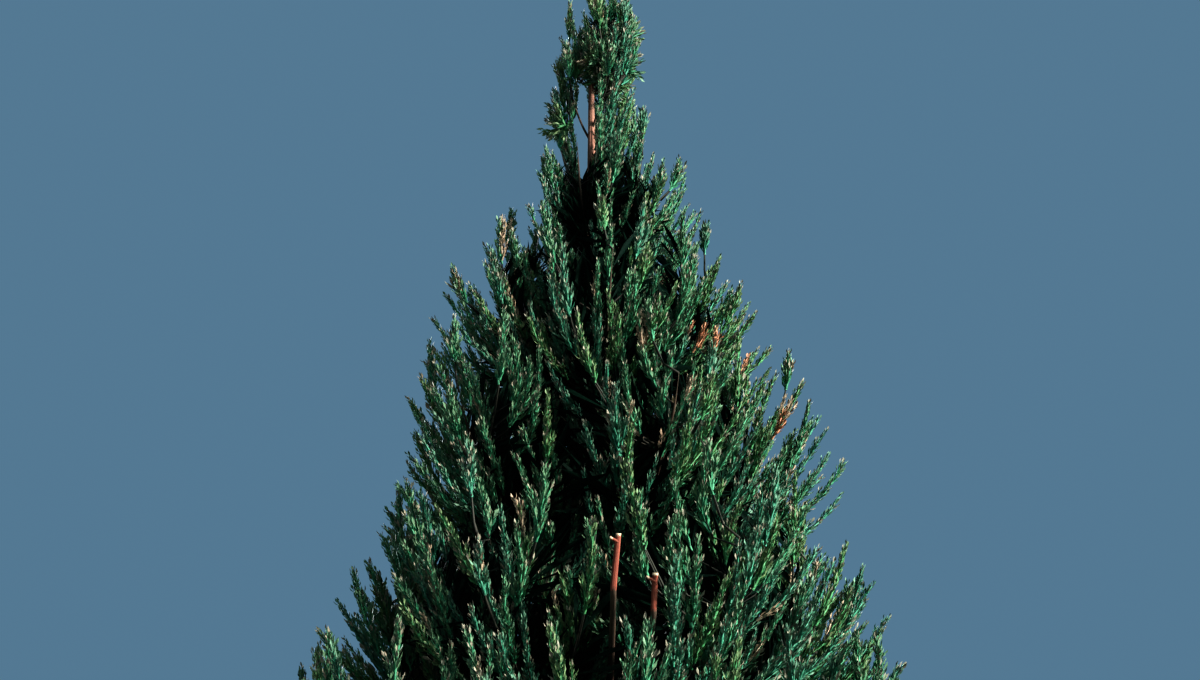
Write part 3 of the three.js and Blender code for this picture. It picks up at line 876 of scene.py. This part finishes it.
def flame(plume, tip, size, rng):
    """The tips, directions and lengths of a plume's sprays, which stand below its tip like a flame."""
    out, side = directions(plume.bearing)
    radius = crown_radius(plume.depth)
    half_width = 0.5 * plume.spacing * radius
    drop = plume.step * SPRAY_DROP
    count = max(FEWEST_SPRAYS, round(2 * half_width * drop / (SPRAY_AREA * size * size)))
    down = ((np.arange(count) + 0.5) / count) ** DROP_POWER
    turn = GOLDEN_ANGLE * np.arange(count) + rng.uniform(0, 2 * np.pi)
    turn = turn + rng.uniform(-SPRAY_TURN_SPREAD, SPRAY_TURN_SPREAD, count)
    width = half_width * np.minimum(1, PLUME_TOP + PLUME_WIDENING * down)
    width = width * rng.uniform(*PLUME_WIDTHS, count)
    below = drop * (down - down[0]) + DROP_SPREAD * rng.uniform(0, 1, count)
    widening = OUTLINE_FOLLOW * (crown_radius(plume.depth + below) - radius)
    outward = np.where(np.cos(turn) > 0, PLUME_OUT, PLUME_IN) * np.cos(turn) * width
    sideways = np.sin(turn) * width * PLUME_ASIDE
    bearings = plume.bearing + sideways / max(radius, LEAST_RADIUS)
    outward = outward - groove(plume, bearings, radius)
    outward = outward - np.minimum(cleft(bearings, plume.depth + below), radius / 2)
    tips = tip + (widening + outward)[:, None] * out + sideways[:, None] * side - below[:, None] * UP
    tips[0] = tip
    lean = LEAN_OUT + LEAN_GROWTH * min(1.0, plume.depth / LEAN_DEPTH)
    tilt_out = lean + LEAN_OPENING * np.cos(turn) + LEAN_SPREAD * rng.uniform(-1, 1, count)
    tilt_side = FAN * np.sin(turn) + FAN_SPREAD * rng.uniform(-1, 1, count)
    aim = unit(UP + out * tilt_out[:, None] + side * tilt_side[:, None])
    return tips, aim, SPRAY_LENGTH * size * rng.uniform(*SPRAY_LENGTHS, count)


def climbed_at(climb):
    """Where along itself a twig of a mass has climbed a share of its rise, from how it bends up."""
    steep = 1 - 2 * BEND_UP
    return (np.sqrt(BEND_UP ** 2 + steep * climb) - BEND_UP) / steep


def grow_plume(growth, plume, limb, rng):
    """Adds a plume's twig, its sprays and their fingers."""
    size = size_at(plume.depth)
    out, side = directions(plume.bearing)
    radius = crown_radius(plume.depth)
    held = STAND_BACK if rng.random() < HELD_BACK else 0
    back = hollow(plume.bearing, plume.depth) + held * min(1, radius / STAND_BACK_RADIUS)
    back = min(back, MOST_BACK * radius)
    root = twig_root(plume, limb)
    tip = plume.tip - out * back
    bend = plume.bend(root) - out * back
    if kept_open(tip):
        return
    twig = (root[None], bend[None], tip[None])
    growth.twigs.append((*twig, [TWIG_RADIUS * size], [TWIG_END_RADIUS], side[None]))

    tips, aim, length = flame(plume, tip, size, rng)
    climb = (tips[:, 2] - ROOT_BELOW * length - root[2]) / (tip[2] - root[2])
    climb = np.clip(climb, rng.uniform(*ROOT_LEAST, len(tips)), ROOT_MOST)
    roots = bezier(root, bend, tip, climbed_at(climb)[None])[0]
    bends = tips - aim * length[:, None]
    roots[0] = bezier(root, bend, tip, LEADING_FROM)[0]
    bends[0] = bend + LEADING_FROM * (tip - bend)
    bends[:, 2] = np.maximum(bends[:, 2], GROUND_CLEARANCE)
    if limb is not None:
        lower = lowered(roots, bends, limb)
        roots = np.where(crosses(lower, bends, tips)[:, None], roots, lower)
    clear = ~(crosses(roots, bends, tips) | kept_open(tips)) & (tips[:, 2] > SPRAY_CLEARANCE)
    if clear.any():
        grow_sprays(growth, roots[clear], bends[clear], tips[clear], aim[clear], side, size, rng)
        grow_shade(growth, *twig, TWIG_SHADE, size)


def grow_sprays(growth, roots, bends, tips, aim, side, size, rng):
    """Adds the twigs of a plume's sprays, their fingers and the near-black shoots of painted shade among
    them.
    """
    count = len(tips)
    thick = SPRAY_RADIUS * size * np.ones(count)
    ends = tips - aim * SPRAY_END_GAP
    growth.twigs.append((roots, bends, ends, thick, thick * SPRAY_END, np.tile(side, (count, 1))))
    grow_fingers(growth, roots, bends, tips, grow_hues(rng, count), size, rng)
    grow_shade(growth, roots, bends, tips, SPRAY_SHADE, size)


def grow_limb_shade(growth, limb):
    """Adds the near-black shoots of painted shade round a limb, inside the crown."""
    root, middle, tip = limb.point(0.0), limb.point(0.5 * STEM_END), limb.point(STEM_END)
    bend = 2 * middle - (root + tip) / 2
    grow_shade(growth, root[None], bend[None], tip[None], LIMB_SHADE)


def spiral(roots, bends, tips, t, rng):
    """Points up each spray at t, its line there, and spokes that turn by the golden angle."""
    base = bezier(roots, bends, tips, t)
    along = bezier_tangent(roots, bends, tips, t)
    a = unit(np.cross(along, SPRAY_ASIDE))
    b = np.cross(along, a)
    turn = GOLDEN_ANGLE * np.arange(t.shape[1])[None] + rng.uniform(0, 2 * np.pi, (len(roots), 1))
    turn = turn + rng.uniform(-TURN_SPREAD, TURN_SPREAD, t.shape)
    return base, along, a * np.cos(turn)[..., None] + b * np.sin(turn)[..., None]


def grow_fingers(growth, roots, bends, tips, hues, size, rng):
    """Adds the fingers of a plume's sprays: a spiral of them up each spray, and one at its tip."""
    share = np.arange(SPRAY_FINGERS)[None] / SPRAY_FINGERS
    spread = FINGER_SPREAD * rng.uniform(-1, 1, (len(roots), SPRAY_FINGERS))
    t = FINGERS_FROM + (FINGERS_TO - FINGERS_FROM) * share + spread
    base, along, spoke = spiral(roots, bends, tips, t, rng)
    opening = FINGER_OPEN + (FINGER_CLOSE - FINGER_OPEN) * share
    opening = np.radians(opening + rng.uniform(-OPEN_SPREAD, OPEN_SPREAD, t.shape))
    aim = unit(along * np.cos(opening)[..., None] + spoke * np.sin(opening)[..., None] + UP * FINGER_LIFT)
    length = FINGER_LENGTH * size * (FINGER_AT_FOOT - FINGER_SHORTER * share)
    length = length * rng.uniform(*LENGTHS, t.shape)
    base[:, -1] = tips - along[:, -1] * length[:, -1][:, None]
    aim[:, -1] = unit(tips - base[:, -1])
    hue = spot_hues(base + aim * length[..., None] / 2, hues[:, None])
    ends = base + aim * length[..., None]
    keep = np.minimum(base[..., 2], ends[..., 2]) > GROUND_CLEARANCE
    keep &= ~cover_open(base, ends)
    spin = rng.uniform(0, 2 * np.pi, t.shape)
    # Pale ends: new growth, partly a painted highlight
    pale = rng.random(t.shape) < PALE_AND_HIGHLIT_SHARE
    hue = np.where(rng.random(t.shape) < DRY_SHARE, TAN, hue)
    growth.fingers.append([values[keep] for values in (base, aim, length, spin, hue, pale)])


def grow_shade(growth, roots, bends, tips, kind, size=1.0):
    """Adds near-black shoots of painted shade along sprays, twigs, a limb or the trunk."""
    shoots, length, first, last = kind
    rng = growth.shade_rng
    t = np.linspace(first, last, shoots)[None] + SHADE_SPREAD * rng.uniform(-1, 1, (len(roots), shoots))
    base, along, spoke = spiral(roots, bends, tips, t, rng)
    aim = unit(along * SHADE_ALONG + spoke + UP * SHADE_LIFT)
    full = np.minimum(1, crown_radius(TREE_HEIGHT - base[..., 2]) / SHADE_FULL_RADIUS)
    length = length * size * full * rng.uniform(*SHADE_LENGTHS, t.shape)
    ends = base + aim * length[..., None]
    keep = ~cover_open(base, ends)
    for points in (base, ends):
        keep &= covered(points, SHADE_REACH, SHADE_INSET) & (points[..., 2] > GROUND_CLEARANCE)
    spin = rng.uniform(0, 2 * np.pi, t.shape)
    growth.shade.append([values[keep] for values in (base, aim, length, spin)])


# Materials

def new_material(name, roughness):
    material = bpy.data.materials.new(name)
    material.use_nodes = True
    shader = material.node_tree.nodes["Principled BSDF"]
    shader.inputs["Roughness"].default_value = roughness
    return material, material.node_tree.nodes, material.node_tree.links, shader


def colour_by_noise(nodes, links, shader, place, settings, stops, colours):
    """Colours a surface between two colours by noise at a place. Gives the noise, for bumps."""
    noise = nodes.new("ShaderNodeTexNoise")
    for socket, value in settings.items():
        noise.inputs[socket].default_value = value
    ramp = nodes.new("ShaderNodeValToRGB")
    for element, position, colour in zip(ramp.color_ramp.elements, stops, colours):
        element.position = position
        element.color = (*colour, 1)
    links.new(place, noise.inputs["Vector"])
    links.new(noise.outputs["Fac"], ramp.inputs["Fac"])
    links.new(ramp.outputs["Color"], shader.inputs["Base Color"])
    return noise.outputs["Fac"]


def raise_bumps(nodes, links, shader, height, strength, distance):
    bump = nodes.new("ShaderNodeBump")
    bump.inputs["Strength"].default_value = strength
    bump.inputs["Distance"].default_value = distance
    links.new(height, bump.inputs["Height"])
    links.new(bump.outputs["Normal"], shader.inputs["Normal"])


def leaf_material(name, dark, light, gloss):
    """Scale leaves: two near greens in fine grains, with small bumps."""
    material, *tree = new_material(name, 0.6)
    nodes, _, shader = tree
    place = nodes.new("ShaderNodeTexCoord").outputs["Object"]
    grain = colour_by_noise(*tree, place, {"Scale": 160, "Detail": 2}, (0.35, 0.68), (dark, light))
    raise_bumps(*tree, grain, strength=0.5, distance=0.002)
    shader.inputs["Specular IOR Level"].default_value = gloss
    return material


def bark_material(name, dark, light, streaks):
    """Fibrous bark: streaks along the limb, from its own lengthwise coordinates."""
    material, *tree = new_material(name, 0.85)
    nodes, links, _ = tree
    place = nodes.new("ShaderNodeUVMap")
    place.uv_map = "along"
    stretch = nodes.new("ShaderNodeMapping")
    stretch.inputs["Scale"].default_value = streaks
    links.new(place.outputs["UV"], stretch.inputs["Vector"])
    settings = {"Scale": 1, "Detail": 6, "Roughness": 0.65}
    fibre = colour_by_noise(*tree, stretch.outputs["Vector"], settings, (0.32, 0.66), (dark, light))
    raise_bumps(*tree, fibre, strength=0.7, distance=0.004)
    return material


def twig_material():
    material, *tree = new_material("twig", 0.8)
    place = tree[0].new("ShaderNodeTexCoord").outputs["Object"]
    # Twigs are near black: their brown is deepened as painted shade among the sprays.
    colours = ((0.01, 0.009, 0.006), (0.032, 0.026, 0.016))
    colour_by_noise(*tree, place, {"Scale": 90}, (0, 1), colours)
    return material


def make_leaf_materials():
    """A material for each of the leaves' colours, in their order."""
    made = []
    for name, colour in LEAF_COLOURS.items():
        dark, light = (tuple(share * c for c in colour) for share in (DARKER, LIGHTER))
        made.append(leaf_material(f"leaf_{name}", dark, light, gloss=0.3))
    return made


# Bark

def ridges(angle, along, seed):
    """Lengthwise ridges round a limb, from -1 to 1: waves round it that wander as they run along it."""
    rng = np.random.default_rng(seed)
    total = np.zeros(np.broadcast(angle, along).shape)
    for _ in range(RIDGES):
        waves = rng.integers(*RIDGE_WAVES)
        wander = rng.uniform(*RIDGE_WANDER)
        wander = wander * np.sin(along * rng.uniform(*WANDER_TURN) + rng.uniform(0, ANY_START))
        fade = np.sin(along * rng.uniform(*FADE_TURN) + rng.uniform(0, ANY_START))
        wave = np.sin(waves * angle + wander + rng.uniform(0, ANY_START))
        total += wave * (RIDGE_EVEN + (1 - RIDGE_EVEN) * fade)
    return np.clip(total / RIDGE_SUM, -1, 1)


def bark_tube(centres, tangents, radii, across, sides, relief, seed):
    """A limb with ridged bark, as (vertices, triangles, uvs). The relief is in metres at each ring."""
    angles = 2 * np.pi * np.arange(sides) / sides
    steps = np.linalg.norm(np.diff(centres, axis=0), axis=1)
    along = np.concatenate([[0], np.cumsum(steps)])[:, None]
    raised = ridges(angles[None], along, seed) * relief[:, None]
    full = (radii if radii.ndim == 2 else radii[:, None]) + raised
    vertices, triangles = tubes(centres[None], tangents[None], full[None], across[None], sides)
    uvs = np.stack(np.broadcast_arrays(np.sin(angles)[None] * 0.5 + 0.5, along), -1).reshape(-1, 2)
    return vertices, triangles, uvs


def trunk_bark(material):
    """The trunk and its lobed root flare."""
    z = TRUNK_HEIGHT * np.linspace(0, 1, TRUNK_RINGS) ** RING_CROWDING
    angles = 2 * np.pi * np.arange(TRUNK_SIDES) / TRUNK_SIDES
    flare = np.exp(-z / FLARE_HEIGHT)[:, None]
    lobes = 1 + LOBE_DEPTH * flare * np.cos(FLARE_LOBES * angles[None] + LOBE_TURN)
    radii = (trunk_radius(z)[:, None] + FLARE_RADIUS * flare) * lobes
    tangents = np.tile(UP, (TRUNK_RINGS, 1))
    relief = TRUNK_RELIEF * trunk_radius(z) / TRUNK_RADIUS + LEAST_RELIEF
    tube = bark_tube(trunk_centre(z), tangents, radii, ACROSS, TRUNK_SIDES, relief, TRUNK_BARK_SEED)
    piece = mesh_piece("trunk_bark", [material], *tube)
    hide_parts("trunk")


def limb_tube(limb, rings, seed):
    """One limb's bark, from the trunk to where foliage still covers it."""
    t = np.linspace(0, STEM_END, rings)
    end = t[covered(limb.point(t), LIMB_REACH)].max()
    t = np.linspace(0, end, rings)
    centres = limb.point(t)
    tangents = unit(np.gradient(centres, axis=0))
    radii = limb.radius(t) * np.clip((end - t) / LIMB_END_TAPER, LIMB_END_LEAST, 1)
    collar = 1 + COLLAR * np.exp(-t / COLLAR_LENGTH)
    across = directions(limb.bearing)[1]
    return bark_tube(centres, tangents, radii * collar, across, LIMB_SIDES, LIMB_RELIEF * radii, seed)


def limb_bark(tiers, material):
    """Every limb from the trunk to well inside its mass."""
    parts = []
    for level, tier in enumerate(tiers):
        rings = LIMB_RINGS + LIMB_MORE_RINGS * level
        for j, (_, limb, _) in enumerate(tier):
            parts.append(limb_tube(limb, rings, LIMB_BARK_SEED + TIER_BARK_SEEDS * level + j))
    piece = mesh_piece("limbs", [material], *joined(parts))
    boughs = [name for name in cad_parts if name.startswith("bough")]
    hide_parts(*boughs)


def stub_lines():
    """The broken shoots and side stubs, as (centres, radii, seed, height below which their bark is
    painted in shade).
    """
    lines = []
    for number, (top_x, foot_x, seen_foot, seen_top) in enumerate(STUBS):
        y = -LIMB_REACH * crown_radius(TREE_HEIGHT - seen_foot)
        nearness = EYE_DISTANCE / (EYE_DISTANCE + y)
        foot, top = (EYE_HEIGHT + (z - EYE_HEIGHT) / nearness for z in (seen_foot, seen_top))
        below = np.array([foot_x / nearness, y, foot])
        above = np.array([top_x / nearness, y - STUB_FORWARD, top])
        bend = below + STUB_RUN
        root = root_on_trunk(bend[2] - STUB_RISE)
        share = np.linspace(0, 1, STUB_RINGS)
        rise = bezier(root, bend, below, share[None])[0]
        centres = np.concatenate([rise, below + share[1:, None] * (above - below)])
        radii = np.linspace(*STUB_TAPER, len(centres)) * STUB_RADIUS
        lines.append((centres, radii, STUB_SEEDS[0] + number, foot))
        share = np.linspace(0, 1, SIDE_STUB_RINGS)
        centres = above - UP * SIDE_STUB_DROP + share[:, None] * SIDE_STUB_RUN
        radii = np.linspace(*SIDE_STUB_TAPER, SIDE_STUB_RINGS) * STUB_RADIUS
        lines.append((centres, radii, STUB_SEEDS[1] + number, foot))
    return lines


def broken_shoots(materials):
    """The bare broken shoots at the front. Each rises from the trunk and has a short side stub."""
    parts = []
    for centres, radii, seed, shaded_below in stub_lines():
        tangents = unit(np.gradient(centres, axis=0))
        tube = bark_tube(centres, tangents, radii, STUB_ASIDE, STUB_SIDES, STUB_RELIEF * radii, seed)
        middles = tube[0][tube[1]].mean(axis=1)
        from_end = np.linalg.norm(middles - centres[-1], axis=1)
        # Below the foot the bark is the dark limb bark: painted shade.
        kinds = np.where(middles[:, 2] < shaded_below, SHADED_BARK, FRESH_BARK)
        parts.append((*tube, np.where(from_end < STUB_BROKEN, BROKEN_WOOD, kinds)))
    piece = mesh_piece("broken_shoots", materials, *joined(parts))


# Foliage

def grow_tier(number, tier, materials, twig, shade):
    """The leaves and twigs of one tier, each joined into one piece. Its inner shoots go into shade."""
    growth = Growth(shade, number)
    nodes = []
    for name, limb, plumes in tier:
        nodes.append(name)
        rng = np.random.default_rng([number, len(nodes)])
        for plume in plumes:
            grow_plume(growth, plume, limb, rng)
        if limb is not None:
            grow_limb_shade(growth, limb)
    vertices, triangles, kinds = build_fingers(growth.fingers)
    leaves = mesh_piece(f"leaves_tier_{number}", materials, vertices, triangles, kinds=kinds)
    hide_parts(*nodes)
    twigs = mesh_piece(f"twigs_tier_{number}", [twig], *build_twigs(growth.twigs))


def inner_shoots(shade, material):
    """All the near-black shoots of painted shade inside the crown as one piece, with those round the
    trunk.
    """
    foot, top = (trunk_centre(np.array(z)) for z in TRUNK_SHADE_Z)
    grow_shade(Growth(shade, 0), foot[None], (foot + top)[None] / 2, top[None], TRUNK_SHADE)
    mesh_piece("inner_shoots", [material], *build_shade(shade))


# Stage

def make_stage():
    """A pale floor, and soft studio light that comes mainly from the upper right."""
    bpy.ops.mesh.primitive_plane_add(size=400, location=(0, 0, 0))
    floor = bpy.context.object
    floor.name = "floor"
    paint, _, _, shader = new_material("floor", 0.9)
    shader.inputs["Base Color"].default_value = (0.14, 0.14, 0.135, 1)
    shader.inputs["Specular IOR Level"].default_value = 0.1
    floor.data.materials.append(paint)

    scene = bpy.context.scene
    scene.view_settings.view_transform = "Standard"
    scene.view_settings.look = "High Contrast"
    scene.world = bpy.data.worlds.new("studio")
    scene.world.use_nodes = True
    studio = scene.world.node_tree.nodes["Background"]
    studio.inputs["Color"].default_value = (0.4, 0.72, 1.0, 1)
    studio.inputs["Strength"].default_value = 0.26
    for light in LIGHTS:
        add_sun(*light)


def add_sun(name, energy, angle, colour, towards):
    sun = bpy.data.lights.new(name, "SUN")
    sun.energy = energy
    sun.angle = math.radians(angle)
    sun.color = colour
    lamp = bpy.data.objects.new(name, sun)
    bpy.context.scene.collection.objects.link(lamp)
    aim_at(lamp, np.array(towards), np.zeros(3))


def aim_at(piece, place, target):
    piece.location = place
    piece.rotation_euler = Vector(target - np.asarray(place, float)).to_track_quat("-Z", "Y").to_euler()


def make_camera():
    """From eye height about nine metres off, looking up at the upper half of the crown."""
    data = bpy.data.cameras.new("view")
    camera = bpy.data.objects.new("view", data)
    bpy.context.scene.collection.objects.link(camera)
    top = math.atan((VIEW_TOP - EYE_HEIGHT) / EYE_DISTANCE)
    bottom = math.atan((VIEW_BOTTOM - EYE_HEIGHT) / EYE_DISTANCE)
    pitch = (top + bottom) / 2
    half_high = (top - bottom) / 2
    data.sensor_width = 36
    data.lens = data.sensor_width / 2 / (math.tan(half_high) * PHOTO_WIDTH / PHOTO_HEIGHT)
    target = np.array([0.0, 0.0, EYE_HEIGHT + EYE_DISTANCE * math.tan(pitch)])
    aim_at(camera, np.array([0.0, -EYE_DISTANCE, EYE_HEIGHT]), target)
    data.clip_end = 200
    bpy.context.scene.camera = camera


make_camera()
make_stage()
bark = bark_material("bark", (0.08, 0.035, 0.028), (0.48, 0.245, 0.175), streaks=(26, 5, 1))
# The limbs' bark is dark brown as painted shade inside the crown; it also paints the shade on the broken
# shoots' lower parts.
shaded_bark = bark_material("limb_bark", (0.025, 0.016, 0.011), (0.11, 0.065, 0.042), streaks=(12, 8, 1))
leaf_materials = make_leaf_materials()
twig = twig_material()
tiers = planned_tiers()
leader_foot = trunk_centre(TRUNK_HEIGHT) + UP * STEM_GAP
leader = leader_plumes(leader_foot, crown_point(0, 0, 0), seeded(SEED + LEADER_SEED))
trunk_bark(bark)
limb_bark(tiers, shaded_bark)
fresh_bark = bark_material("fresh_bark", (0.1, 0.022, 0.014), (0.32, 0.08, 0.045), streaks=(9, 12, 1))
broken_wood = bark_material("broken_wood", (0.5, 0.32, 0.2), (0.75, 0.55, 0.38), streaks=(12, 20, 1))
broken_shoots([fresh_bark, broken_wood, shaded_bark])
shade = []
for number, tier in enumerate(tiers, start=1):
    extra = [("foliage_leader", None, leader)] if number == 1 else []
    grow_tier(number, tier + extra, leaf_materials, twig, shade)
# The inner shoots are near black: painted shade inside the crown.
painted_shade_leaves = leaf_material("inner_shoots", (0.0015, 0.006, 0.004), (0.003, 0.012, 0.008), gloss=0.02)
inner_shoots(shade, painted_shade_leaves)
